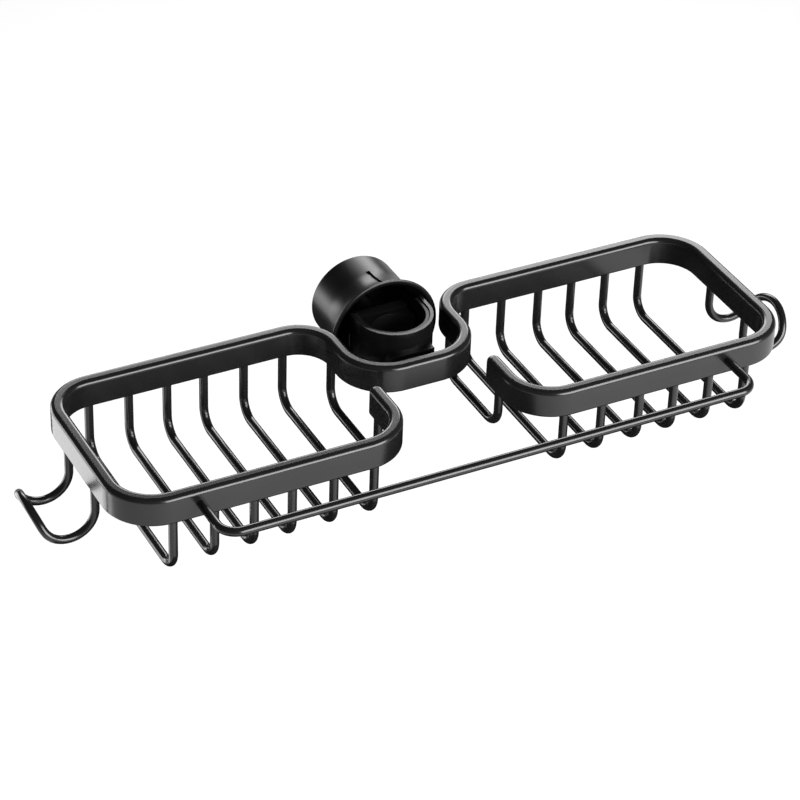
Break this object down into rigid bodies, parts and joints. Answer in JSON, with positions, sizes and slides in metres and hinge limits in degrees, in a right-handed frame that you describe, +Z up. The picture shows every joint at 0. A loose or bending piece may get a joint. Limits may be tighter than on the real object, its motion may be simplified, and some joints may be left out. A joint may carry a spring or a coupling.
{
  "type": "shower caddy",
  "caption": "Shower caddy with wire baskets under a bent frame bar, a front towel rail, end hooks and a knob-tightened clamp that holds it on a vertical shower pipe.",
  "frame": {"origin": "on the axis of the pipe that the clamp holds, level with the axis of the clamp's knob", "axes": "+X along the caddy, -Y towards its front (the towel rail), +Z up along the pipe"},
  "size_m": [0.3936, 0.1515, 0.0622],
  "materials": {
    "bar_metal": "black satin coat",
    "wire_metal": "black gloss coat",
    "clamp_plastic": "black satin",
    "knob_plastic": "black gloss",
    "rubber": "matt black",
    "screw_steel": "bright"
  },
  "bodies": {
    "rack": {"frame_bar": "bar_metal", "left_rod_1": "wire_metal", "left_rod_2": "wire_metal", "left_rod_3": "wire_metal", "left_rod_4": "wire_metal", "left_rod_5": "wire_metal", "left_rod_6": "wire_metal", "left_rod_7": "wire_metal", "right_rod_1": "wire_metal", "right_rod_2": "wire_metal", "right_rod_3": "wire_metal", "right_rod_4": "wire_metal", "right_rod_5": "wire_metal", "right_rod_6": "wire_metal", "right_rod_7": "wire_metal", "towel_rail": "wire_metal", "left_hook": "wire_metal", "right_hook": "wire_metal", "clamp_body": "clamp_plastic", "jaw_liner": "rubber", "mount_spacer": "clamp_plastic", "clamp_screw_1": "screw_steel", "clamp_screw_2": "screw_steel"},
    "presser": {"pad_carrier": "clamp_plastic", "back_pad": "rubber", "stem_washer": "screw_steel", "stem_screw": "screw_steel"},
    "turner": {"knob": "knob_plastic", "knob_cap": "knob_plastic"}
  },
  "joints": [
    {"name": "pad_travel", "type": "slide", "parent": "rack", "child": "presser", "axis": [0, 1, 0], "range_m": [-0.00101, 0.00401]},
    {"name": "knob_turn", "type": "hinge", "parent": "presser", "child": "turner", "pos_m": [0, 0.03, 0], "axis": [0, 1, 0], "range_deg": [-90, 360]}
  ],
  "couplings": [
    {"joint": "pad_travel", "follows": "knob_turn", "m_per_rad": 0.00063662}
  ]
}
